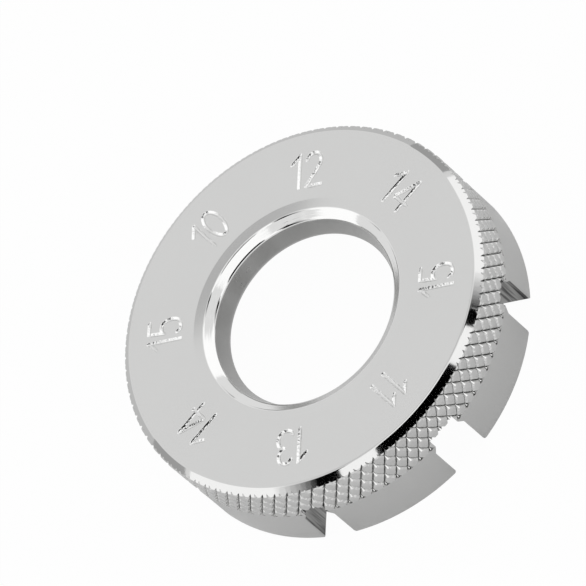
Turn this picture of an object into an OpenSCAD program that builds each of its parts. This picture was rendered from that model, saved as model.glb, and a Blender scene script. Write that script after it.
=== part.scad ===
// Round spoke wrench with eight stepped slots, turned and milled from one piece of steel.
// The numbered face is up, the jaw ends stand on z = 0 and the centre hole lies on the Z axis.
// The one piece is drawn as the regions that its turned edges mark off: the numbered disc
// with its dished web and centre hole, the knurled rim, and a jaw between each two slots.
// They meet face to face. Slot 12 points along +Y and the others follow clockwise from above.

/* [Body] */
// Diameter over the jaws and the knurl
body_d = 50; // [46:0.5:60]
// Height from the jaw ends to the numbered face
body_h = 13; // [12:0.1:16]
// Width of the sloped edge round the numbered face, seen from above
edge_w = 1.15; // [0.8:0.05:1.6]
// Height of the sloped edge round the numbered face
edge_h = 0.95; // [0.6:0.05:1.3]

/* [Centre hole] */
// Diameter of the straight end of the hole, at the back
bore_d = 23.2; // [20:0.1:25]
// Length of the straight end of the hole
bore_land_h = 1; // [0.6:0.1:1.2]
// How far the tapered wall opens out on each side
taper_w = 0.8; // [0.4:0.05:1.2]
// Width of the turned bevel above the tapered wall
bevel_w = 1.25; // [0.6:0.05:1.3]
// Height of the turned bevel
bevel_h = 0.9; // [0.6:0.05:1.1]
// Width of the soft hollow that leads from the face into the bevel
hollow_w = 1.2; // [0.8:0.1:2]
// Depth of the soft hollow where the bevel starts
hollow_h = 0.25; // [0.1:0.05:0.3]

/* [Web] */
// Thickness of the dished web at the centre hole
web_t = 3.7; // [3:0.1:4]
// Width of the flat ledge between the foot of a jaw and the turned groove
ledge_w = 0.1; // [0.05:0.05:0.5]
// Width of the turned groove round the dish
groove_w = 0.3; // [0.2:0.05:0.6]
// Depth of the turned groove
groove_h = 0.25; // [0.1:0.05:0.4]

/* [Jaws] */
// Thickness of a jaw, measured towards the centre
jaw_t = 4.25; // [3.5:0.05:5]
// Bevel along the inner edge of each jaw end
tip_bevel = 0.5; // [0.2:0.05:0.8]
// Radius of the hollow fillet at the foot of each jaw
foot_r = 0.35; // [0.2:0.05:0.6]

/* [Slots] */
// Depth of the slots from the jaw ends to their floor
slot_h = 7.8; // [7:0.1:8]
// Height of the narrow seat at the floor of each slot
seat_h = 1.4; // [1:0.05:1.8]
// Height of the sloped shoulder between the seat and the mouth
shoulder_h = 0.95; // [0.6:0.05:1.3]
// How far each shoulder steps out, which widens the mouth by twice as much
shoulder_w = 0.6; // [0.3:0.05:0.7]
// Width of the seat for gauge 10
seat_10_w = 4.4; // [4:0.05:4.8]
// Width of the seat for gauge 11
seat_11_w = 4; // [3.6:0.05:4.4]
// Width of the seat for gauge 12
seat_12_w = 3.6; // [3.2:0.05:4]
// Width of the seat for gauge 13
seat_13_w = 2.8; // [2.4:0.05:3.4]
// Width of the seats for gauge 14
seat_14_w = 3.4; // [3:0.05:3.8]
// Width of the seats for gauge 15
seat_15_w = 3.2; // [2.8:0.05:3.6]

/* [Knurl] */
// How far the slot seats reach down past the end of the knurled band
seat_lap_h = 0.1; // [0.05:0.05:0.3]
// Number of grooves in each of the two crossing sets
knurl_n = 90; // [60:1:100]
// Number of whole diamonds along the band
knurl_rows = 2; // [1:1:3]
// Depth of the knurl grooves
knurl_t = 0.4; // [0.15:0.05:0.5]
// Width of a knurl groove at the surface, measured round the rim
knurl_groove_w = 0.65; // [0.3:0.05:0.8]

/* [Hidden] */
$fn = 96;

// Radii from the axis
body_r = body_d / 2;
face_r = body_r - edge_w;
wall_r = body_r - jaw_t;
foot_edge_r = wall_r - foot_r;
dish_r = foot_edge_r - ledge_w - groove_w;
bore_r = bore_d / 2;
throat_r = bore_r + taper_w;
bevel_r = throat_r + bevel_w;
root_r = body_r - knurl_t;

// Heights above the jaw ends
edge_z = body_h - edge_h;
seat_z = slot_h - seat_h;
mouth_z = seat_z - shoulder_h;
knurl_z = seat_z + seat_lap_h;
hollow_z = body_h - hollow_h;
bevel_z = hollow_z - bevel_h;
web_z = body_h - web_t;
land_z = web_z + bore_land_h;
root_z = edge_z + edge_h * knurl_t / edge_w;

// One seat width for each slot, clockwise from slot 12
seat_widths = [seat_12_w, seat_14_w, seat_15_w, seat_11_w, seat_13_w, seat_14_w, seat_15_w, seat_10_w];
slot_n = len(seat_widths);
slot_step = 360 / slot_n;

// A jaw is turned from inside one slot to inside the next, which leaves both sides to be cut,
// and the cuts run past the surfaces that they open
cut_share = 1 / 4;
sector_gap_a = asin(min(seat_widths) * cut_share / body_r);
overrun = jaw_t * cut_share;

// Steps in the curve of the soft hollow and of the fillet at a jaw's foot
curve_n = 6;

// Angles of the knurl: from groove to groove, and half of the width of one groove
pitch_a = 360 / knurl_n;
groove_a = asin(knurl_groove_w / 2 / body_r);
row_n = 2 * knurl_rows;
row_h = (edge_z - knurl_z) / row_n;
land_share = 1 - groove_a / (pitch_a / 2);

steel = [0.78, 0.78, 0.79];
knurled_steel = [0.62, 0.63, 0.64];

function slot_angle(i) = 90 - slot_step * i;

// A point at radius r, angle a and height z
function turned(r, a, z) = [r * cos(a), r * sin(a), z];

// Half of the disc's section, from the face down the outside and back along the web
function disc_section() = concat(
    [[face_r, body_h], [face_r, slot_h], [dish_r + groove_w, slot_h]],
    [[dish_r + groove_w / 2, slot_h + groove_h], [dish_r, slot_h]],
    [[bore_r, web_z], [bore_r, land_z], [throat_r, bevel_z]],
    [for (k = [0:curve_n]) [bevel_r + hollow_w * k / curve_n, body_h - hollow_h * pow(1 - k / curve_n, 2)]]
);

// Half of a jaw's section, with the step behind the knurled rim and the fillet at its foot
function jaw_section() = concat(
    [[wall_r + tip_bevel, 0], [body_r, 0], [body_r, knurl_z], [face_r, knurl_z], [face_r, slot_h]],
    [for (k = [curve_n:-1:0]) foot_point(90 * k / curve_n)],
    [[wall_r, tip_bevel]]
);

function foot_point(a) = [wall_r - foot_r * (1 - cos(a)), slot_h - foot_r * (1 - sin(a))];

module face_disc() {
    color(steel)
        rotate_extrude()
            polygon(disc_section());
}

// Outline of a slot seen from outside: mouth, shoulders, and a seat that is cut up to top_z
module slot_outline(seat_w, top_z) {
    half_seat = seat_w / 2;
    half_mouth = half_seat + shoulder_w;
    polygon([
        [-half_mouth, -overrun], [half_mouth, -overrun], [half_mouth, mouth_z], [half_seat, seat_z],
        [half_seat, top_z], [-half_seat, top_z], [-half_seat, seat_z], [-half_mouth, mouth_z]
    ]);
}

// The space that slot i takes out of the jaws, or of the rim, where it stops at its floor
module slot_space(i, top_z = slot_h) {
    rotate([0, 0, slot_angle(i)])
        translate([foot_edge_r - overrun, 0, 0])
            rotate([90, 0, 90])
                linear_extrude(height = body_r - foot_edge_r + 2 * overrun)
                    slot_outline(seat_widths[i % slot_n], top_z);
}

// The jaw between slot i and the next one clockwise
module jaw(i) {
    color(steel)
        difference() {
            rotate([0, 0, slot_angle(i + 1) + sector_gap_a])
                rotate_extrude(angle = slot_step - 2 * sector_gap_a)
                    polygon(jaw_section());
            slot_space(i, slot_h + overrun);
            slot_space(i + 1, slot_h + overrun);
        }
}

// The knurled surface is one closed skin. Row k of the crossings holds knurl_n points at the
// bottom of the grooves, and the rows are staggered by half a pitch. Each crossing has a
// diamond with a flat top to its left, whose corners stand back from the grooves.
function crossing_angle(k, i) = (i + (k % 2) / 2) * pitch_a;
function row_z(k) = edge_z - row_h * k;
function crossing_points() = [
    for (k = [0:row_n])
        for (i = [0:knurl_n - 1])
            turned(root_r, crossing_angle(k, i), row_z(k))
];

// Four corners of each diamond: right, top, left and bottom. The end rows hold half diamonds,
// whose missing corner falls on the row itself and is used by no face.
function diamond_points() = [
    for (k = [0:row_n])
        for (i = [0:knurl_n - 1])
            let (middle = crossing_angle(k, i) + pitch_a / 2, reach = land_share * pitch_a / 2)
                each [
                    turned(body_r, middle - reach, row_z(k)),
                    turned(body_r, middle, k == 0 ? row_z(k) : row_z(k) + row_h * land_share),
                    turned(body_r, middle + reach, row_z(k)),
                    turned(body_r, middle, k == row_n ? row_z(k) : row_z(k) - row_h * land_share)
                ]
];

// Rings of three points a pitch that close the skin at its two ends and down its inner wall
function ring_angle(j) = floor(j / 3) * pitch_a + [-groove_a, 0, groove_a][j % 3];
function ring_points(r, z) = [for (j = [0:3 * knurl_n - 1]) turned(r, ring_angle(j), z)];
function notch_points() = [for (i = [0:knurl_n - 1]) turned(root_r, i * pitch_a, root_z)];

// Where each kind of point starts in the list of all points
crossing_at = 0;
diamond_at = crossing_at + (row_n + 1) * knurl_n;
top_ring_at = diamond_at + 4 * (row_n + 1) * knurl_n;
low_ring_at = top_ring_at + 3 * knurl_n;
notch_at = low_ring_at + 3 * knurl_n;

function around(i) = (i + knurl_n) % knurl_n;
function crossing(k, i) = crossing_at + k * knurl_n + around(i);
function diamond(k, i, corner) = diamond_at + 4 * (k * knurl_n + around(i)) + corner;
function top_ring(j) = top_ring_at + (j + 3 * knurl_n) % (3 * knurl_n);
function low_ring(j) = low_ring_at + (j + 3 * knurl_n) % (3 * knurl_n);
function notch(i) = notch_at + around(i);

// The edge of the sloped face: the corner of one diamond, the notch, the corner of the next
function rim_point(j) =
    let (i = floor(j / 3) % knurl_n, part = j % 3)
        part == 0 ? diamond(0, i - 1, 2) : part == 1 ? notch(i) : diamond(0, i, 0);
function foot_edge_point(j) =
    let (i = floor(j / 3) % knurl_n, part = j % 3)
        part == 0 ? diamond(row_n, i - 1, 2) : part == 1 ? crossing(row_n, i) : diamond(row_n, i, 0);

function quad_faces(a, b, c, d) = [[a, b, c], [a, c, d]];

// The two slopes above a diamond and the two below it, each down to the crossings
function upper_slopes(k, i) =
    let (above = crossing(k - 1, i + k % 2))
        concat(
            quad_faces(crossing(k, i), above, diamond(k, i, 1), diamond(k, i, 0)),
            quad_faces(above, crossing(k, i + 1), diamond(k, i, 2), diamond(k, i, 1))
        );
function lower_slopes(k, i) =
    let (below = crossing(k + 1, i + k % 2))
        concat(
            quad_faces(crossing(k, i + 1), below, diamond(k, i, 3), diamond(k, i, 2)),
            quad_faces(below, crossing(k, i), diamond(k, i, 0), diamond(k, i, 3))
        );

// A whole diamond has its flat top in two halves, and one on an end row has only one of them
function diamond_faces(k, i) = concat(
    k > 0 ? concat([[diamond(k, i, 0), diamond(k, i, 1), diamond(k, i, 2)]], upper_slopes(k, i)) : [],
    k < row_n ? concat([[diamond(k, i, 0), diamond(k, i, 2), diamond(k, i, 3)]], lower_slopes(k, i)) : []
);

function notch_faces(i) = [
    [diamond(0, i - 1, 2), notch(i), crossing(0, i)],
    [diamond(0, i, 0), crossing(0, i), notch(i)]
];

function closing_faces(j) = concat(
    quad_faces(top_ring(j), top_ring(j + 1), rim_point(j + 1), rim_point(j)),
    quad_faces(foot_edge_point(j), foot_edge_point(j + 1), low_ring(j + 1), low_ring(j)),
    quad_faces(low_ring(j), low_ring(j + 1), top_ring(j + 1), top_ring(j))
);

module knurl_skin() {
    points = concat(
        crossing_points(),
        diamond_points(),
        ring_points(face_r, body_h),
        ring_points(face_r, knurl_z),
        notch_points()
    );
    faces = concat(
        [for (k = [0:row_n]) for (i = [0:knurl_n - 1]) each diamond_faces(k, i)],
        [for (i = [0:knurl_n - 1]) each notch_faces(i)],
        [for (j = [0:3 * knurl_n - 1]) each closing_faces(j)]
    );
    polyhedron(points, faces);
}

module knurled_rim() {
    color(knurled_steel)
        difference() {
            knurl_skin();
            for (i = [0:slot_n - 1]) {
                slot_space(i);
            }
        }
}

face_disc();
knurled_rim();
jaw(0);  // jaw_1
jaw(1);  // jaw_2
jaw(2);  // jaw_3
jaw(3);  // jaw_4
jaw(4);  // jaw_5
jaw(5);  // jaw_6
jaw(6);  // jaw_7
jaw(7);  // jaw_8
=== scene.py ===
import math

import bmesh
import bpy
from mathutils import Matrix, Vector


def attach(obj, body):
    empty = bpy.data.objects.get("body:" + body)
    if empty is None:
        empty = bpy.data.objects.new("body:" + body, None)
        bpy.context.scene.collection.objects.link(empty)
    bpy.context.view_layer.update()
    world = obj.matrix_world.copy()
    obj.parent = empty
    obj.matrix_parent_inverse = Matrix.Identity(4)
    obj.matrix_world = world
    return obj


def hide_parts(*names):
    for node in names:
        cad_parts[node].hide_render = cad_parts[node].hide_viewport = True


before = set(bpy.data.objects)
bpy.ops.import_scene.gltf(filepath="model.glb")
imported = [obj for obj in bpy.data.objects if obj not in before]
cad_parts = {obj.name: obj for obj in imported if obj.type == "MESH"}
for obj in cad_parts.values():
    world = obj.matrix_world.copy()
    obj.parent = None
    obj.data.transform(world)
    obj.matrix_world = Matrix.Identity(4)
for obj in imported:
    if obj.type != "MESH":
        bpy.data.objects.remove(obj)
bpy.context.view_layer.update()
print("frame loaded:", sorted(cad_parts))

# Sizes are typed in millimetres and turned into metres where a mesh is made.
mm = 0.001
levelNormal = 0.9999     # upward part of its normal from which a face counts as level
body = {
    "outerR": 25.0,
    "height": 13.0,
    "seamR": 23.74,      # where the disc and the rim meet, just inside the face's rounded edge
    "slotFloor": 7.8,
    "bandFoot": 6.5,     # lower end of the knurled band
    "innerR": 20.75,     # inner wall of the jaws
}
slots = {
    "seats": [3.6, 3.4, 3.2, 4.0, 2.8, 3.4, 3.2, 4.4],   # clockwise from the slot for gauge 12
    "gauges": ["12", "14", "15", "11", "13", "14", "15", "10"],
    "shoulderW": 0.6,
    "shoulderTop": 6.4,
    "mouthTop": 5.45,
}
slotCount = len(slots["seats"])


def slotAngle(i):
    return math.radians(90 - 360 / slotCount * i)


def polar(r, a, z):
    return (r * math.cos(a), r * math.sin(a), z)


# Meshes are made from lists of points and faces; marks gives each face's material number.
def makeObject(name, verts, faces, marks=None):
    mesh = bpy.data.meshes.new(name)
    mesh.from_pydata([Vector(v) * mm for v in verts], [], faces)
    if marks:
        mesh.polygons.foreach_set("material_index", marks)
    work = bmesh.new()
    work.from_mesh(mesh)
    bmesh.ops.recalc_face_normals(work, faces=work.faces)
    work.to_mesh(mesh)
    work.free()
    made = bpy.data.objects.new(name, mesh)
    bpy.context.scene.collection.objects.link(made)
    return made


def turn(profile, count):
    verts = [polar(r, 2 * math.pi * j / count, z) for r, z in profile for j in range(count)]
    rings = len(profile)
    faces = [
        (i * count + j, (i + 1) % rings * count + j,
         (i + 1) % rings * count + (j + 1) % count, i * count + (j + 1) % count)
        for i in range(rings) for j in range(count)
    ]
    return verts, faces


def cut(target, cutter, operation):
    tool = target.modifiers.new("cut", "BOOLEAN")
    tool.operation = operation
    tool.solver = "EXACT"
    tool.object = cutter


# applies the modifiers and sets which edges stay crisp
def settle(piece, smoothAngle):
    graph = bpy.context.evaluated_depsgraph_get()
    mesh = bpy.data.meshes.new_from_object(piece.evaluated_get(graph))
    piece.modifiers.clear()
    piece.data = mesh
    mesh.set_sharp_from_angle(angle=math.radians(smoothAngle))
    # level faces stay truly flat; this comes second, because the line above resets it
    sloping = [abs(polygon.normal.z) < levelNormal for polygon in mesh.polygons]
    mesh.polygons.foreach_set("use_smooth", sloping)


def drop(*pieces):
    for piece in pieces:
        bpy.data.objects.remove(piece)


def seat(piece, slotName, materials, *replaced):
    marks = [polygon.material_index for polygon in piece.data.polygons]
    piece.data.materials.clear()
    for material in materials:
        piece.data.materials.append(material)
    piece.data.polygons.foreach_set("material_index", marks)   # clearing the list had reset them
    print(piece.name, "faces of each material:", [marks.count(k) for k in range(len(materials))])
    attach(piece, "root")
    if replaced:
        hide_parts(*replaced)


# Effects that several materials share are node groups.
def nodeGroup(name, inputs, outputs):
    group = bpy.data.node_groups.new(name, "ShaderNodeTree")
    for label, kind, value in inputs:
        socket = group.interface.new_socket(name=label, in_out="INPUT", socket_type=kind)
        socket.default_value = value
    for label, kind in outputs:
        group.interface.new_socket(name=label, in_out="OUTPUT", socket_type=kind)
    start = group.nodes.new("NodeGroupInput")
    end = group.nodes.new("NodeGroupOutput")
    return group, start, end


def mathNode(tree, operation, a, b=None):
    node = tree.nodes.new("ShaderNodeMath")
    node.operation = operation
    for i, value in enumerate([a, b]):
        if value is None:
            continue
        if isinstance(value, (int, float)):
            node.inputs[i].default_value = value
        else:
            tree.links.new(value, node.inputs[i])
    return node.outputs[0]


def noiseNode(tree, dimensions, scale, detail, vector=None, w=None):
    node = tree.nodes.new("ShaderNodeTexNoise")
    node.noise_dimensions = dimensions
    node.inputs["Scale"].default_value = scale
    node.inputs["Detail"].default_value = detail
    if vector is not None:
        tree.links.new(vector, node.inputs["Vector"])
    if w is not None:
        tree.links.new(w, node.inputs["W"])
    return node.outputs["Fac"]


def axisDistance(tree, coords):
    flat = tree.nodes.new("ShaderNodeVectorMath")
    flat.operation = "MULTIPLY"
    flat.inputs[1].default_value = (1, 1, 0)
    tree.links.new(coords, flat.inputs[0])
    reach = tree.nodes.new("ShaderNodeVectorMath")
    reach.operation = "LENGTH"
    tree.links.new(flat.outputs[0], reach.inputs[0])
    return reach.outputs["Value"]


# Clouds in the plating: how many to the metre, and the share that the broad ones have in the tone
clouds = {"broadScale": 90, "fineScale": 900, "broadShare": 0.7}


def buildPlatingTone():
    # cloudy change in tone and gloss that a plated surface has
    group, start, end = nodeGroup(
        "platingTone",
        [("Color", "NodeSocketColor", (0.6, 0.6, 0.6, 1)), ("Patchiness", "NodeSocketFloat", 0.05),
         ("Roughness", "NodeSocketFloat", 0.15)],
        [("Color", "NodeSocketColor"), ("Roughness", "NodeSocketFloat")],
    )
    coords = group.nodes.new("ShaderNodeTexCoord").outputs["Object"]
    broad = noiseNode(group, "3D", clouds["broadScale"], 2, coords)
    fine = noiseNode(group, "3D", clouds["fineScale"], 3, coords)
    broadPart = mathNode(group, "MULTIPLY", broad, clouds["broadShare"])
    finePart = mathNode(group, "MULTIPLY", fine, 1 - clouds["broadShare"])
    centred = mathNode(group, "SUBTRACT", mathNode(group, "ADD", broadPart, finePart), 0.5)
    shift = mathNode(group, "MULTIPLY", centred, start.outputs["Patchiness"])
    tone = mathNode(group, "ADD", mathNode(group, "MULTIPLY", shift, 2.0), 1.0)
    scaled = group.nodes.new("ShaderNodeVectorMath")
    scaled.operation = "SCALE"
    group.links.new(start.outputs["Color"], scaled.inputs[0])
    group.links.new(tone, scaled.inputs["Scale"])
    group.links.new(scaled.outputs[0], end.inputs["Color"])
    gloss = mathNode(group, "ADD", mathNode(group, "MULTIPLY", centred, 0.5), 1.0)
    group.links.new(mathNode(group, "MULTIPLY", gloss, start.outputs["Roughness"]), end.inputs["Roughness"])
    return group


def buildTurnedRings():
    # fine rings round the axis, as a lathe tool leaves them
    group, start, end = nodeGroup(
        "turnedRings",
        [("Rings per metre", "NodeSocketFloat", 6000.0)],
        [("Height", "NodeSocketFloat"), ("Mask", "NodeSocketFloat")],
    )
    coords = group.nodes.new("ShaderNodeTexCoord").outputs["Object"]
    rings = mathNode(group, "MULTIPLY", axisDistance(group, coords), start.outputs["Rings per metre"])
    ripple = noiseNode(group, "1D", 1, 2, w=rings)
    wobble = noiseNode(group, "3D", 160, 1, coords)
    mixed = mathNode(group, "MULTIPLY", ripple, mathNode(group, "ADD", wobble, 0.5))
    group.links.new(mixed, end.inputs["Height"])
    group.links.new(ripple, end.inputs["Mask"])
    return group


def buildMillStreaks():
    # streaks that run up the walls of a milled slot; their mask also places painted dark reflections there
    group, start, end = nodeGroup(
        "millStreaksAndReflections",
        [("Across", "NodeSocketFloat", 3000.0), ("Along", "NodeSocketFloat", 120.0)],
        [("Height", "NodeSocketFloat"), ("Mask", "NodeSocketFloat")],
    )
    coords = group.nodes.new("ShaderNodeTexCoord").outputs["Object"]
    stretch = group.nodes.new("ShaderNodeCombineXYZ")
    group.links.new(start.outputs["Across"], stretch.inputs[0])
    group.links.new(start.outputs["Across"], stretch.inputs[1])
    group.links.new(start.outputs["Along"], stretch.inputs[2])
    scaled = group.nodes.new("ShaderNodeVectorMath")
    scaled.operation = "MULTIPLY"
    group.links.new(coords, scaled.inputs[0])
    group.links.new(stretch.outputs[0], scaled.inputs[1])
    streak = noiseNode(group, "3D", 1, 3, scaled.outputs[0])
    group.links.new(streak, end.inputs["Height"])
    group.links.new(streak, end.inputs["Mask"])
    return group


def buildRolledDents():
    # shallow unevenness that rolling and stamping leave under the plating
    group, start, end = nodeGroup(
        "rolledDents",
        [("Dents per metre", "NodeSocketFloat", 2500.0)],
        [("Height", "NodeSocketFloat")],
    )
    scaled = group.nodes.new("ShaderNodeVectorMath")
    scaled.operation = "SCALE"
    group.links.new(group.nodes.new("ShaderNodeTexCoord").outputs["Object"], scaled.inputs[0])
    group.links.new(start.outputs["Dents per metre"], scaled.inputs["Scale"])
    group.links.new(noiseNode(group, "3D", 1, 2, scaled.outputs[0]), end.inputs["Height"])
    return group


def buildRecessShade():
    # 0 in the bottom of the knurl's grooves, 1 on its lands, by distance from the axis
    group, start, end = nodeGroup(
        "recessShade",
        [("Bottom radius", "NodeSocketFloat", 0.0246), ("Land radius", "NodeSocketFloat", 0.025)],
        [("Mask", "NodeSocketFloat")],
    )
    coords = group.nodes.new("ShaderNodeTexCoord").outputs["Object"]
    span = group.nodes.new("ShaderNodeMapRange")
    span.interpolation_type = "SMOOTHSTEP"
    group.links.new(axisDistance(group, coords), span.inputs["Value"])
    group.links.new(start.outputs["Bottom radius"], span.inputs["From Min"])
    group.links.new(start.outputs["Land radius"], span.inputs["From Max"])
    group.links.new(span.outputs["Result"], end.inputs["Mask"])
    return group


platingTone = buildPlatingTone()
recessShade = buildRecessShade()
turnedRings = buildTurnedRings()
millStreaksAndReflections = buildMillStreaks()
rolledDents = buildRolledDents()


def plating(name, color, roughness, patchiness=0.03, marks=None, bump=0.0, distance=0.00002, **markValues):
    material = bpy.data.materials.new(name)
    material.use_nodes = True
    tree = material.node_tree
    shader = tree.nodes["Principled BSDF"]
    shader.inputs["Metallic"].default_value = 1.0
    tone = tree.nodes.new("ShaderNodeGroup")
    tone.node_tree = platingTone
    tone.inputs["Color"].default_value = (*color, 1)
    tone.inputs["Patchiness"].default_value = patchiness
    tone.inputs["Roughness"].default_value = roughness
    tree.links.new(tone.outputs["Color"], shader.inputs["Base Color"])
    tree.links.new(tone.outputs["Roughness"], shader.inputs["Roughness"])
    if marks:
        pattern = tree.nodes.new("ShaderNodeGroup")
        pattern.node_tree = marks
        for label, value in markValues.items():
            pattern.inputs[label.replace("_", " ")].default_value = value
        relief = tree.nodes.new("ShaderNodeBump")
        relief.inputs["Strength"].default_value = bump
        relief.inputs["Distance"].default_value = distance
        tree.links.new(pattern.outputs["Height"], relief.inputs["Height"])
        tree.links.new(relief.outputs["Normal"], shader.inputs["Normal"])
    return material


def paintGrooveShade(material, color, bottomR, landR):
    # painted shade: a dark colour at the bottom of the grooves, where shade falls
    tree = material.node_tree
    shader = tree.nodes["Principled BSDF"]
    tone = shader.inputs["Base Color"].links[0].from_socket
    shade = tree.nodes.new("ShaderNodeGroup")
    shade.node_tree = recessShade
    shade.inputs["Bottom radius"].default_value = bottomR * mm
    shade.inputs["Land radius"].default_value = landR * mm
    mix = tree.nodes.new("ShaderNodeMix")
    mix.data_type = "RGBA"
    mix.inputs["A"].default_value = (*color, 1)
    tree.links.new(shade.outputs["Mask"], mix.inputs["Factor"])
    tree.links.new(tone, mix.inputs["B"])
    tree.links.new(mix.outputs["Result"], shader.inputs["Base Color"])


def darkenMarksAndReflections(material, marks, color, low, high):
    # darkens the plating where the marks' mask is low: a darker ring pattern on the web, and painted dark
    # reflections in streaks on the slot walls
    tree = material.node_tree
    shader = tree.nodes["Principled BSDF"]
    tone = shader.inputs["Base Color"].links[0].from_socket
    pattern = next(node for node in tree.nodes if node.type == "GROUP" and node.node_tree == marks)
    span = tree.nodes.new("ShaderNodeMapRange")
    span.inputs["From Min"].default_value = low
    span.inputs["From Max"].default_value = high
    mix = tree.nodes.new("ShaderNodeMix")
    mix.data_type = "RGBA"
    mix.inputs["A"].default_value = (*color, 1)
    tree.links.new(pattern.outputs["Mask"], span.inputs["Value"])
    tree.links.new(span.outputs["Result"], mix.inputs["Factor"])
    tree.links.new(tone, mix.inputs["B"])
    tree.links.new(mix.outputs["Result"], shader.inputs["Base Color"])


nickel = (0.62, 0.62, 0.615)
facePlating = plating("numberedFacePlating", nickel, 0.18, patchiness=0.02)
bevelPlating = plating("turnedBevelPlating", (0.7, 0.7, 0.695), 0.08, marks=turnedRings, bump=0.4,
                       Rings_per_metre=4500.0)
# painted shade: the hole's wall gets a darker copy of the nickel
boreShadePlating = plating("holeWallShadePlating", (0.46, 0.46, 0.455), 0.3)
webPlating = plating("dishedWebPlating", (0.68, 0.68, 0.675), 0.2, marks=turnedRings, bump=0.8,
                     distance=0.00003, Rings_per_metre=3500.0)
darkenMarksAndReflections(webPlating, turnedRings, (0.42, 0.42, 0.415), 0.3, 0.6)
engravedPlating = plating("engravedNumberPlating", (0.72, 0.72, 0.715), 0.08, marks=rolledDents, bump=0.5,
                          distance=0.00008, Dents_per_metre=3500.0)
edgePlating = plating("slopedEdgePlating", nickel, 0.06)
knurlPlating = plating("knurlPlating", (0.66, 0.66, 0.655), 0.08, patchiness=0.25, marks=rolledDents,
                       bump=0.6, distance=0.0001, Dents_per_metre=2600.0)
# painted shade darkens the bottom of the knurl's grooves
paintGrooveShade(knurlPlating, (0.05, 0.05, 0.05), 24.6, 24.74)
# painted highlight: a near-white copy of the nickel for the blunted tips that face up
knurlTipHighlightPlating = plating("knurlTipHighlightPlating", (0.95, 0.95, 0.94), 0.06)
jawPlating = plating("jawPlating", nickel, 0.2)
# painted shade: the slot walls get a dark copy of the nickel
slotShadePlating = plating("slotWallShadePlating", (0.3, 0.3, 0.295), 0.15, patchiness=0.1, marks=millStreaksAndReflections,
                      bump=0.5)
# painted dark reflections, in streaks on the slot walls
darkenMarksAndReflections(slotShadePlating, millStreaksAndReflections, (0.06, 0.06, 0.06), 0.38, 0.55)
print("materials made")


# Gauge numbers, cut into the face
numbers = {
    "middleR": 18.85,
    "height": 4.5,
    "gap": 0.95,         # between the two figures of a number
    # a stroke's section: how far its side is from the middle, and how deep there
    "section": [(0.31, 0.0), (0.285, 0.01), (0.27, 0.022), (0.05, 0.215), (0.03, 0.225), (0.01, 0.23)],
    "rise": 0.1,         # how far the cutters stand above the face
    "capSteps": 8,       # in the round end of a stroke
    "leastTurn": 0.5,    # keeps a sharp corner of a stroke from running out into a spike
    "facetDepths": (0.001, 0.25),   # least and most depth of the middle of an engraved face
}


def arc(cx, cy, rx, ry, start, end, steps):
    return [
        (cx + rx * math.cos(math.radians(start + (end - start) * k / steps)),
         cy + ry * math.sin(math.radians(start + (end - start) * k / steps)))
        for k in range(steps + 1)
    ]


# Strokes of each figure in shares of its height, with the width that it takes up
figures = {
    "0": (0.46, [arc(0.23, 0.5, 0.23, 0.5, 70, 290, 16), arc(0.23, 0.5, 0.23, 0.5, 250, 470, 16)]),
    "1": (0.24, [[(0.24, 0), (0.24, 1)], [(0.22, 0.97), (0.0, 0.74)]]),
    "2": (0.46, [arc(0.23, 0.76, 0.22, 0.24, 165, -20, 10) + [(0.34, 0.5), (0.01, 0.02)],
                 [(0.03, 0.0), (0.46, 0.0)]]),
    "3": (0.44, [arc(0.2, 0.76, 0.2, 0.24, 150, -75, 12),
                 arc(0.2, 0.27, 0.24, 0.27, 80, -150, 14)]),
    "4": (0.5, [[(0.36, 0), (0.36, 1)], [(0.34, 0.98), (0.0, 0.3)], [(0.02, 0.28), (0.5, 0.28)]]),
    "5": (0.44, [[(0.42, 1.0), (0.07, 1.0)], [(0.06, 0.98), (0.03, 0.56)],
                 arc(0.2, 0.31, 0.24, 0.31, 135, -140, 16)]),
}


# a groove with sloping sides along a line, as a closed mesh
def strokeCutter(name, line, place):
    points = [Vector(p) for p in line]
    sides = []
    for k, point in enumerate(points):
        before = (point - points[k - 1]).normalized() if k else None
        after = (points[k + 1] - point).normalized() if k < len(points) - 1 else None
        along = ((before or after) + (after or before)).normalized()
        side = Vector((-along.y, along.x))
        ahead = after or before
        stretch = 1 / max(numbers["leastTurn"], abs(side.dot(Vector((-ahead.y, ahead.x)))))
        sides.append(side * stretch)
    levels = [(numbers["section"][0][0], numbers["rise"])]
    levels += [(half, -deep) for half, deep in numbers["section"]]
    capSteps = numbers["capSteps"]
    verts, faces, loops = [], [], []
    for offset, z in levels:
        loop = [p + s * offset for p, s in zip(points, sides)]
        endSide, startSide = sides[-1].normalized(), sides[0].normalized()
        endAhead = Vector((endSide.y, -endSide.x))
        loop += [points[-1] + endSide * (offset * math.cos(math.pi * k / capSteps))
                 + endAhead * (offset * math.sin(math.pi * k / capSteps)) for k in range(1, capSteps)]
        loop += [p - s * offset for p, s in reversed(list(zip(points, sides)))]
        startBack = Vector((-startSide.y, startSide.x))
        loop += [points[0] - startSide * (offset * math.cos(math.pi * k / capSteps))
                 + startBack * (offset * math.sin(math.pi * k / capSteps)) for k in range(1, capSteps)]
        loops.append(range(len(verts), len(verts) + len(loop)))
        verts += [place(p.x, p.y, z) for p in loop]
    for upper, lower in zip(loops, loops[1:]):
        for k in range(len(upper)):
            n = (k + 1) % len(upper)
            faces.append((upper[k], upper[n], lower[n], lower[k]))
    faces += [tuple(loops[0]), tuple(loops[-1])]
    return makeObject(name, verts, faces)


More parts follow.
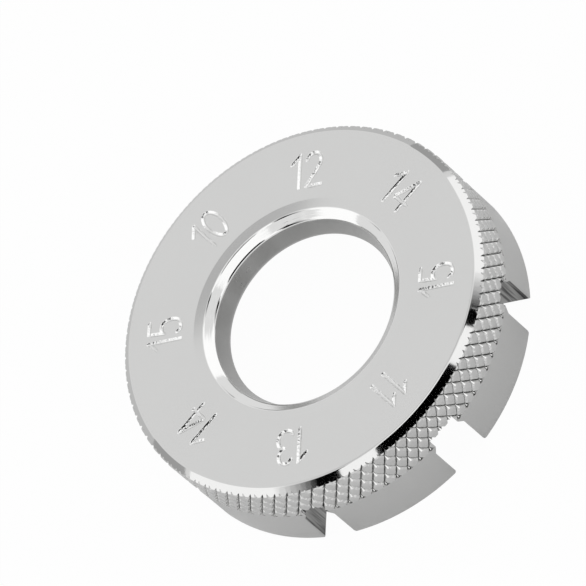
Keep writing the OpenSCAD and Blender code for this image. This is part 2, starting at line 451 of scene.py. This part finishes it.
def numberCutters():
    cutters = []
    height = numbers["height"]
    for i, text in enumerate(slots["gauges"]):
        widths = [figures[c][0] * height for c in text]
        total = sum(widths) + numbers["gap"]
        a = slotAngle(i)
        outward = Vector((math.cos(a), math.sin(a)))
        top = -outward if i == 2 else outward   # the number beside the +X slot is cut the other way up
        right = Vector((top.y, -top.x))
        middle = outward * numbers["middleR"]
        left = -total / 2
        for c, width in zip(text, widths):
            for k, line in enumerate(figures[c][1]):
                def place(x, y, z, left=left):
                    at = middle + right * (left + x) + top * (y - height / 2)
                    return (at.x, at.y, body["height"] + z)
                scaled = [(x * height, y * height) for x, y in line]
                cutters.append(strokeCutter(f"stroke_{i}_{c}_{k}", scaled, place))
            left += width + numbers["gap"]
    return cutters


# Numbered disc
disc = {
    "hollowR": 14.85,    # outer end of the soft hollow round the hole
    "hollowSoft": (0.03, 0.004),   # half the width and the depth of the rounding at that end
    "hollow": (14.76, 12.98),      # radius and height where its slope starts
    # radius and height down a narrow step, the straight bevel and its rounded lower edge
    "bevel": [(13.72, 12.75), (13.66, 12.737), (13.62, 12.715), (13.54, 12.65), (13.5, 12.62),
              (13.44, 12.581), (12.7, 12.1), (12.64, 12.061), (12.58, 12.015), (12.5, 11.945),
              (12.45, 11.89), (12.415, 11.83)],
    "wall": [(12.39, 11.77), (11.64, 9.7), (11.6, 9.57), (11.6, 9.38)],
    "webEdge": (11.68, 9.3),
    "groove": [(20.0, 7.8), (20.15, 8.05), (20.3, 7.8)],
    "numberGap": 0.1,    # beside the hollow, where no figure reaches
    "sides": 288,
    "smooth": 32,        # degrees up to which an edge is drawn smooth
}


# outline of the disc's section, with the material of the surface that starts at each point
def discProfile():
    face, bevel, wall, web = 0, 1, 2, 3
    top = body["height"]
    points = [((body["seamR"], body["slotFloor"]), face), ((body["seamR"], top), face)]
    soft, sink = disc["hollowSoft"]
    points += [((disc["hollowR"] + soft, top), face), ((disc["hollowR"] - soft, top - sink), face)]
    points.append((disc["hollow"], face))
    points += [(p, bevel) for p in disc["bevel"]]
    points += [(p, wall) for p in disc["wall"]]
    points += [(disc["webEdge"], web)] + [(p, web) for p in disc["groove"]]
    return points


# material of the stretch of the outline that lies nearest to a point
def nearestMark(outline, r, z):
    point, found = Vector((r, z)), []
    for (a, mark), (b, _) in zip(outline, outline[1:] + outline[:1]):
        start, along = Vector(a), Vector(b) - Vector(a)
        share = min(1, max(0, (point - start).dot(along) / along.length_squared))
        found.append(((start + along * share - point).length, mark))
    return min(found)[1]


def makeDisc():
    outline = discProfile()
    verts, faces = turn([p for p, _ in outline], disc["sides"])
    piece = makeObject("numberedDisc", verts, faces)
    cutters = numberCutters()
    group = bpy.data.collections.new("strokes")
    for cutter in cutters:
        group.objects.link(cutter)
    tool = piece.modifiers.new("numbers", "BOOLEAN")
    tool.operation = "DIFFERENCE"
    tool.solver = "EXACT"
    tool.operand_type = "COLLECTION"
    tool.collection = group
    settle(piece, disc["smooth"])
    drop(*cutters)
    bpy.data.collections.remove(group)
    materials = [facePlating, bevelPlating, boreShadePlating, webPlating, engravedPlating]
    least, most = numbers["facetDepths"]
    for polygon in piece.data.polygons:
        x, y, z = polygon.center / mm
        r = math.hypot(x, y)
        if r > disc["hollowR"] + disc["numberGap"] and least < body["height"] - z < most:
            polygon.material_index = materials.index(engravedPlating)
        else:
            polygon.material_index = nearestMark(outline, r, z)
    seat(piece, "plated_steel", materials, "face_disc")
    print("numbered disc:", len(piece.data.polygons), "faces")


makeDisc()


# Knurled rim
knurl = {
    "grooves": 90,
    "rowH": 1.512,       # from one row of crossings to the next
    "turned": 0.9,       # degrees that the pattern is turned from +X
    "topZ": 12.912,      # height of row 0 of the crossings
    "depth": 0.4,
    "landShare": 0.62,   # of a diamond's width that its top takes up
    "softShare": 0.08,   # of a diamond's width that its rounded edge takes up
    "softDepth": 0.04,
    "tipShare": 0.15,    # half the width of the small facets that blunt a diamond's upper and lower corner
    "topRow": -1,        # first and last row drawn, past both ends of the band
    "lowRow": 5,
    "innerR": 22,        # the skin is closed down to here, inside the rim
    "sides": 360,
    "smooth": 30,        # degrees up to which an edge is drawn smooth
}
rim = {
    "faceCorner": 23.93,   # where the face and the slope would meet without their rounding
    "faceRound": 0.42,
    "roundSteps": 6,
    "slope": 41.0,         # degrees
    "supportGap": 0.05,
    # radius and height down the rounding between the slope and the band
    "lowEdge": [(24.84, 12.209), (24.9, 12.142), (24.95, 12.065), (24.985, 11.978), (25.002, 11.882)],
    "reachR": 25.4,        # past the knurl, which trims the turned shape
    "reachZ": 11.7,
    "cutR": (22, 26),      # the cutters of the slots run from inside the rim to outside it
    "cutBelow": 1,
    # a face takes the material of a surface that its middle lies this near to
    "nearFace": 0.1,
    "nearEdge": 0.03,
    "nearRoot": 0.02,
    # a blunted tip that faces up by more than this share, and sideways by less than this one, gets a painted
    # highlight
    "tipUp": 0.35,
    "tipSideways": 0.2,
}


def knurlSkin():
    n, pitch = knurl["grooves"], 2 * math.pi / knurl["grooves"]
    rootR, landR = body["outerR"] - knurl["depth"], body["outerR"]
    turned = math.radians(knurl["turned"])
    tip = knurl["tipShare"]
    verts, faces = [], []

    def rowZ(k):
        return knurl["topZ"] - knurl["rowH"] * k

    rows = range(knurl["topRow"] - 1, knurl["lowRow"] + 2)
    crossing = {}
    for k in rows:
        for i in range(n):
            crossing[k, i] = len(verts)
            verts.append(polar(rootR, turned + (i + (k % 2) / 2) * pitch, rowZ(k)))
    for k in range(knurl["topRow"], knurl["lowRow"] + 1):
        for i in range(n):
            middle = turned + (i + 0.5 + (k % 2) / 2) * pitch
            rings = []
            outer = knurl["landShare"] + knurl["softShare"]
            for share, r in ((outer, landR - knurl["softDepth"]), (knurl["landShare"], landR)):
                # left corner, the two ends of the upper tip, right corner, the two ends of the lower tip
                corners = ((-share, 0), (-tip, share - tip), (tip, share - tip),
                           (share, 0), (tip, tip - share), (-tip, tip - share))
                rings.append(range(len(verts), len(verts) + 6))
                verts += [polar(r, middle + pitch / 2 * x, rowZ(k) + knurl["rowH"] * y) for x, y in corners]
            step = i + k % 2
            left, right = crossing[k, i], crossing[k, (i + 1) % n]
            above, below = crossing[k - 1, step % n], crossing[k + 1, step % n]
            low, high = rings
            faces += [(left, above, low[1], low[0]), (above, low[2], low[1]), (above, right, low[3], low[2]),
                      (right, below, low[4], low[3]), (below, low[5], low[4]), (below, left, low[0], low[5])]
            faces += [(low[c], low[(c + 1) % 6], high[(c + 1) % 6], high[c]) for c in range(6)]
            faces += [(high[0], high[c], high[c + 1]) for c in range(1, 5)]
    # the zigzag at each end is closed down to a ring inside
    inner = {}
    for end, k, outward in (("top", knurl["topRow"], -1), ("low", knurl["lowRow"], 1)):
        zigzag = []
        for i in range(n):
            zigzag += [crossing[k, i], crossing[k + outward, (i + k % 2) % n]]
        ring = []
        for v in zigzag:
            x, y, z = verts[v]
            share = knurl["innerR"] / math.hypot(x, y)
            ring.append(len(verts))
            verts.append((x * share, y * share, z))
        for j in range(2 * n):
            m = (j + 1) % (2 * n)
            faces.append((zigzag[j], zigzag[m], ring[m], ring[j]))
        inner[end] = ring
    shift = 0 if knurl["topRow"] % 2 == knurl["lowRow"] % 2 else 1
    for j in range(2 * n):
        m = (j + 1) % (2 * n)
        faces.append((inner["top"][j], inner["top"][m], inner["low"][(m + shift) % (2 * n)],
                      inner["low"][(j + shift) % (2 * n)]))
    return makeObject("knurlSkin", verts, faces)


# the part of each slot that reaches up into the knurled band
def slotBlocks():
    verts, faces = [], []
    start, end = rim["cutR"]
    for i, width in enumerate(slots["seats"]):
        a = slotAngle(i)
        u, v = Vector((math.cos(a), math.sin(a))), Vector((-math.sin(a), math.cos(a)))
        at = len(verts)
        for z in (body["bandFoot"] - rim["cutBelow"], body["slotFloor"]):
            for r, side in ((start, -1), (end, -1), (end, 1), (start, 1)):
                p = u * r + v * (side * width / 2)
                verts.append((p.x, p.y, z))
        faces += [tuple(at + c for c in f) for f in (
            (0, 1, 2, 3), (4, 5, 6, 7), (0, 1, 5, 4), (1, 2, 6, 5), (2, 3, 7, 6), (3, 0, 4, 7))]
    return makeObject("slotBlocks", verts, faces)


# radius and height down the turned surface, from the face's rounded edge to the knurl
def edgeCurve():
    tilt, radius, steps = math.radians(rim["slope"]), rim["faceRound"], rim["roundSteps"]
    start = rim["faceCorner"] - radius * math.tan(tilt / 2)
    turns = [tilt * k / steps for k in range(steps + 1)]
    rounding = [(start + radius * math.sin(a), body["height"] - radius * (1 - math.cos(a))) for a in turns]
    # a ring close to each end of the straight slope keeps its reflection straight
    (r0, z0), (r1, z1) = rounding[-1], rim["lowEdge"][0]
    near = rim["supportGap"] / math.hypot(r1 - r0, z1 - z0)
    supports = [(r0 + (r1 - r0) * share, z0 + (z1 - z0) * share) for share in (near, 1 - near)]
    return rounding + supports + rim["lowEdge"]


# radius of that surface at height z, or None below it
def edgeRadius(curve, z):
    for (r0, z0), (r1, z1) in zip(curve, curve[1:]):
        if z1 <= z <= z0:
            return r0 + (r1 - r0) * (z0 - z) / (z0 - z1)
    return None


def rimMaterial(polygon, curve):
    x, y, z = polygon.center / mm
    reach = math.hypot(x, y)
    onEdge = edgeRadius(curve, z)
    if polygon.normal.z > levelNormal and z > body["height"] - rim["nearFace"]:
        return facePlating
    if onEdge is not None and abs(reach - onEdge) < rim["nearEdge"]:
        return edgePlating
    # the slot walls inside the rim get the same painted shade
    if reach < body["outerR"] - knurl["depth"] - rim["nearRoot"]:
        return slotShadePlating
    sideways = abs(polygon.normal.x * y - polygon.normal.y * x) / reach
    # the blunted tips that face up get the painted highlight
    blunted = polygon.normal.z > rim["tipUp"] and sideways < rim["tipSideways"]
    return knurlTipHighlightPlating if blunted else knurlPlating


def makeRim():
    curve = edgeCurve()
    outline = [(body["seamR"], body["bandFoot"]), (rim["reachR"], body["bandFoot"])]
    outline += [(rim["reachR"], rim["reachZ"])] + curve[::-1] + [(body["seamR"], body["height"])]
    verts, faces = turn(outline, knurl["sides"])
    piece = makeObject("knurledRim", verts, faces)
    skin, blocks = knurlSkin(), slotBlocks()
    cut(piece, skin, "INTERSECT")
    cut(piece, blocks, "DIFFERENCE")
    settle(piece, knurl["smooth"])
    drop(skin, blocks)
    materials = [edgePlating, knurlPlating, knurlTipHighlightPlating, facePlating, slotShadePlating]
    for polygon in piece.data.polygons:
        polygon.material_index = materials.index(rimMaterial(polygon, curve))
    seat(piece, "knurled_steel", materials, "knurled_rim")
    print("knurled rim:", len(piece.data.polygons), "faces")


makeRim()


# Jaws
jaw = {
    "tipBevel": 0.5,
    "footR": 0.35,
    "footSteps": 6,
    "mouthR": 0.4,       # rounding where a slot wall meets the jaw's end
    "edgeR": 0.08,       # softened edges
    "cornerShare": 0.293,   # how far a softened corner is drawn in, as a share of edgeR
    "arcSteps": 24,
    "endHeights": [0, 0.02, 0.08, 0.16, 0.26, 0.4],   # of the loops up the rounded end
    "midHeights": [2, 3.7],
    "bevelSoft": (0.05, 0.012),   # half the height and the depth of the rounding above the bevel
    "shoulderSoft": 0.06,         # half the height of the roundings at a slot's shoulder
    "smooth": 32,        # degrees up to which an edge is drawn smooth
}


# half the width of slot i at height z, with soft corners
def slotHalf(i, z):
    narrow = slots["seats"][i % slotCount] / 2
    wide = narrow + slots["shoulderW"]

    def sharp(h):
        if h <= slots["mouthTop"]:
            return wide
        if h >= slots["shoulderTop"]:
            return narrow
        return wide + (narrow - wide) * (h - slots["mouthTop"]) / (slots["shoulderTop"] - slots["mouthTop"])

    soft = jaw["shoulderSoft"]
    half = (sharp(z - soft) + sharp(z + soft)) / 2
    if z < jaw["mouthR"]:
        half += jaw["mouthR"] - math.sqrt(jaw["mouthR"] ** 2 - (jaw["mouthR"] - z) ** 2)
    return half


# heights of the loops, with the inner and outer radius at each
def jawLevels():
    e, tip, foot = jaw["edgeR"], jaw["tipBevel"], jaw["footR"]
    softH, softR = jaw["bevelSoft"]
    heights = jaw["endHeights"] + [tip - softH, tip + softH] + jaw["midHeights"]
    for corner in (slots["mouthTop"], slots["shoulderTop"]):
        heights += [corner - jaw["shoulderSoft"], corner, corner + jaw["shoulderSoft"]]
    levels = []
    for z in heights:
        outerR = body["outerR"] - (e - math.sqrt(e * e - (e - z) ** 2) if z < e else 0)
        innerR = body["innerR"] + max(0, tip - z) + (softR if abs(z - tip) < softH * 1.5 else 0)
        levels.append((z, innerR, outerR))
    levels.append((body["bandFoot"], body["innerR"], body["outerR"]))
    levels.append((body["bandFoot"], body["innerR"], body["seamR"]))
    for k in range(jaw["footSteps"] + 1):
        a = math.radians(90 * k / jaw["footSteps"])
        z = body["slotFloor"] - foot * (1 - math.sin(a))
        levels.append((z, body["innerR"] - foot * (1 - math.cos(a)), body["seamR"]))
    return levels


def makeJaw(i):
    verts, loops, marks = [], [], []
    steps = jaw["arcSteps"]
    for z, innerR, outerR in jawLevels():
        corners = []
        for s, turnSign in ((i, -1), (i + 1, 1)):
            a, half = slotAngle(s), slotHalf(s, z)
            u = Vector((math.cos(a), math.sin(a)))
            v = Vector((-math.sin(a), math.cos(a))) * turnSign
            corners.append((u, v, half))
        (uA, vA, halfA), (uB, vB, halfB) = corners

        def onWall(u, v, half, r):
            return u * math.sqrt(r * r - half * half) + v * half

        def along(start, end, r):
            a0, a1 = math.atan2(start.y, start.x), math.atan2(end.y, end.x)
            a1 += 2 * math.pi if a1 - a0 > math.pi else 0
            if a1 > a0:
                a1 -= 2 * math.pi
            e = jaw["edgeR"] / r
            return [Vector((r * math.cos(t), r * math.sin(t)))
                    for t in (a0 - e + (a1 - a0 + 2 * e) * k / steps for k in range(steps + 1))]

        outA, outB = onWall(uA, vA, halfA, outerR), onWall(uB, vB, halfB, outerR)
        inA, inB = onWall(uA, vA, halfA, innerR), onWall(uB, vB, halfB, innerR)
        outer, inner = along(outA, outB, outerR), along(inA, inB, innerR)[::-1]
        e = jaw["edgeR"]

        def rounded(first, corner, second):
            drawnIn = ((first - corner) + (second - corner)) * jaw["cornerShare"]
            return [first, corner + drawnIn, second]

        loop = outer
        loop += rounded(outer[-1], outB, outB - uB * e)[1:]
        loop += rounded(inB + uB * e, inB, inner[0])[:-1]
        loop += inner
        loop += rounded(inner[-1], inA, inA + uA * e)[1:]
        loop += rounded(outA - uA * e, outA, outer[0])[:-1]
        loops.append(range(len(verts), len(verts) + len(loop)))
        verts += [(p.x, p.y, z) for p in loop]
    faces = []
    size = len(loops[0])
    walls = {steps + 2, 2 * steps + 7}   # the stretches of each loop that lie on a slot wall
    for low, high in zip(loops, loops[1:]):
        for k in range(size):
            n = (k + 1) % size
            faces.append((low[k], low[n], high[n], high[k]))
            marks.append(1 if k in walls else 0)
    faces += [tuple(loops[0]), tuple(loops[-1])]
    marks += [0, 0]
    piece = makeObject(f"jaw_{i + 1}_plated", verts, faces, marks)
    settle(piece, jaw["smooth"])
    seat(piece, "plated_steel", [jawPlating, slotShadePlating], f"jaw_{i + 1}")


for i in range(slotCount):
    makeJaw(i)
print("jaws made")


# Floor, light and camera
studio = {
    "floorSize": 3.0,
    "floorColor": (0.75, 0.75, 0.75),
    "floorDrop": 0.02,       # how far below the jaw ends it lies
    "backdropShare": 0.97,  # how much of the floor's look to the camera is plain white
    "reflectedShare": 0.12,
    # painted light: under the object the floor glows brighter in reflections, filling the object's own
    # shadow there
    "underGlowShare": 0.6,       # the same for reflections of the floor under the object, seen from beneath
    "underR": 23.0,
    "underFade": 1.5,
    "worldLight": 0.92,
}
camera = {
    "position": (0.530183, -0.534652, 0.938046),
    "right": (0.877694, 0.046683, -0.476942),
    "up": (0.178246, 0.892036, 0.415331),
    "back": (0.444839, -0.449547, 0.774613),
    "lens": 600.94,
}


def rayShare(tree, cameraShare, glossyShare):
    rays = tree.nodes.new("ShaderNodeLightPath")
    seen = mathNode(tree, "MAXIMUM", rays.outputs["Is Camera Ray"], rays.outputs["Is Transmission Ray"])
    return mathNode(
        tree, "MAXIMUM",
        mathNode(tree, "MULTIPLY", seen, cameraShare),
        mathNode(tree, "MULTIPLY", rays.outputs["Is Glossy Ray"], glossyShare),
    )


def makeFloor():
    material = bpy.data.materials.new("paleFloor")
    material.use_nodes = True
    tree = material.node_tree
    tree.nodes.clear()
    diffuse = tree.nodes.new("ShaderNodeBsdfDiffuse")
    diffuse.inputs["Color"].default_value = (*studio["floorColor"], 1)
    plain = tree.nodes.new("ShaderNodeEmission")
    clear = tree.nodes.new("ShaderNodeBsdfTransparent")
    mixed = tree.nodes.new("ShaderNodeMixShader")
    oneSided = tree.nodes.new("ShaderNodeMixShader")
    output = tree.nodes.new("ShaderNodeOutputMaterial")
    reach = axisDistance(tree, tree.nodes.new("ShaderNodeTexCoord").outputs["Object"])
    under = tree.nodes.new("ShaderNodeMapRange")
    under.inputs["From Min"].default_value = studio["underR"] * mm
    under.inputs["From Max"].default_value = (studio["underR"] + studio["underFade"]) * mm
    under.inputs["To Min"].default_value = studio["underGlowShare"]
    under.inputs["To Max"].default_value = studio["reflectedShare"]
    tree.links.new(reach, under.inputs["Value"])
    share = rayShare(tree, studio["backdropShare"], under.outputs["Result"])
    tree.links.new(share, mixed.inputs["Fac"])
    tree.links.new(diffuse.outputs[0], mixed.inputs[1])
    tree.links.new(plain.outputs[0], mixed.inputs[2])
    tree.links.new(tree.nodes.new("ShaderNodeNewGeometry").outputs["Backfacing"], oneSided.inputs["Fac"])
    tree.links.new(mixed.outputs[0], oneSided.inputs[1])
    tree.links.new(clear.outputs[0], oneSided.inputs[2])
    tree.links.new(oneSided.outputs[0], output.inputs["Surface"])
    half = studio["floorSize"] / 2 / mm
    verts = [(x * half, y * half, -studio["floorDrop"]) for x, y in ((-1, -1), (1, -1), (1, 1), (-1, 1))]
    mesh = bpy.data.meshes.new("floor")
    mesh.from_pydata([Vector(v) * mm for v in verts], [], [(0, 1, 2, 3)])
    floor = bpy.data.objects.new("floor", mesh)
    bpy.context.scene.collection.objects.link(floor)
    floor.data.materials.append(material)


def makeWorld():
    world = bpy.data.worlds.new("studioWorld")
    bpy.context.scene.world = world
    world.use_nodes = True
    tree = world.node_tree
    background = tree.nodes["Background"]
    background.inputs["Color"].default_value = (1, 1, 1, 1)
    share = rayShare(tree, 1.0, 1.0)
    rest = mathNode(tree, "MULTIPLY", mathNode(tree, "SUBTRACT", 1.0, share), studio["worldLight"])
    tree.links.new(mathNode(tree, "ADD", share, rest), background.inputs["Strength"])


# Panels that the polished steel reflects: bearing from the camera's side, elevation, size and strength.
# They stand at panelAway, or at an away of their own where one panel has to pass in front of another.
panelAway = 0.55
panels = {
    "cameraDark": {"bearing": 0, "elevation": 48.5, "wide": 0.45, "high": 0.18, "strength": 0},
    "bevelBright": {"bearing": 0, "elevation": 65, "wide": 0.45, "high": 0.09, "strength": 1.4},
    "overheadGrey": {"bearing": 180, "elevation": 75, "wide": 0.34, "high": 0.17, "strength": 0.66},
    "overheadBright": {"bearing": 0, "elevation": 86, "wide": 0.2, "high": 0.2, "strength": 1.4},
    "leftDark": {"bearing": -57.9, "elevation": 42, "wide": 0.095, "high": 0.2, "strength": 0, "away": 0.54},
    "leftBright": {"bearing": -100, "elevation": 26, "wide": 0.38, "high": 0.36, "strength": 1.4},
    "rightDark": {"bearing": 55.3, "elevation": 42, "wide": 0.065, "high": 0.2, "strength": 0, "away": 0.54},
    "rightBright": {"bearing": 98, "elevation": 27, "wide": 0.42, "high": 0.36, "strength": 1.4},
}
# strips beside each dark panel, from dark to bright
fades = {
    "left": {"start": -63.9, "step": -2.45, "wide": 0.0187, "elevation": 39},
    "right": {"start": 59.8, "step": 2.05, "wide": 0.0157, "elevation": 40},
}
fadeSteps, fadeEnd = 8, 1.25   # strips on each side, and the strength that they lead up to
for side, fade in fades.items():
    for k in range(fadeSteps):
        panels[f"{side}Fade{k + 1}"] = {
            "bearing": fade["start"] + fade["step"] * (k + 0.5), "elevation": fade["elevation"],
            "wide": fade["wide"], "high": 0.2, "away": 0.54, "strength": fadeEnd * (k + 0.5) / fadeSteps,
        }
for side, turned in (("left", -1), ("right", 1)):
    panels.update({
        side + "NearBright": {"bearing": 42 * turned, "elevation": 46, "wide": 0.17, "high": 0.17,
                              "strength": 1.4, "away": 0.56},
        side + "FarGrey": {"bearing": 128.5 * turned, "elevation": 6, "wide": 0.145, "high": 0.14,
                           "strength": 0.5},
    })
cameraBearing = math.atan2(camera["back"][1], camera["back"][0])


def makePanel(name, values):
    a = cameraBearing + math.radians(values["bearing"])
    e = math.radians(values["elevation"])
    away = Vector((math.cos(a) * math.cos(e), math.sin(a) * math.cos(e), math.sin(e)))
    side = Vector((-math.sin(a), math.cos(a), 0))
    rise = away.cross(side)
    middle = away * values.get("away", panelAway) + Vector((0, 0, body["height"] * mm))
    corners = [middle + side * (x * values["wide"] / 2) + rise * (y * values["high"] / 2)
               for x, y in ((-1, -1), (1, -1), (1, 1), (-1, 1))]
    mesh = bpy.data.meshes.new(name)
    mesh.from_pydata(corners, [], [(0, 1, 2, 3)])
    material = bpy.data.materials.new(name)
    material.use_nodes = True
    tree = material.node_tree
    tree.nodes.clear()
    glow = tree.nodes.new("ShaderNodeEmission")
    glow.inputs["Strength"].default_value = values["strength"]
    output = tree.nodes.new("ShaderNodeOutputMaterial")
    tree.links.new(glow.outputs[0], output.inputs["Surface"])
    panel = bpy.data.objects.new(name, mesh)
    bpy.context.scene.collection.objects.link(panel)
    panel.data.materials.append(material)
    panel.visible_camera = False
    panel.visible_diffuse = False
    panel.visible_shadow = False
    panel.visible_transmission = False


def makeCamera():
    data = bpy.data.cameras.new("camera")
    data.lens = camera["lens"]
    data.sensor_width = 36
    data.clip_start, data.clip_end = 0.01, 20
    made = bpy.data.objects.new("camera", data)
    bpy.context.scene.collection.objects.link(made)
    axes = [camera["right"], camera["up"], camera["back"], camera["position"]]
    made.matrix_world = Matrix([[axis[row] for axis in axes] for row in range(3)] + [[0, 0, 0, 1]])
    bpy.context.scene.camera = made


makeFloor()
makeWorld()
for name, values in panels.items():
    makePanel(name, values)
makeCamera()
bpy.context.scene.view_settings.view_transform = "Standard"
print("stage made")
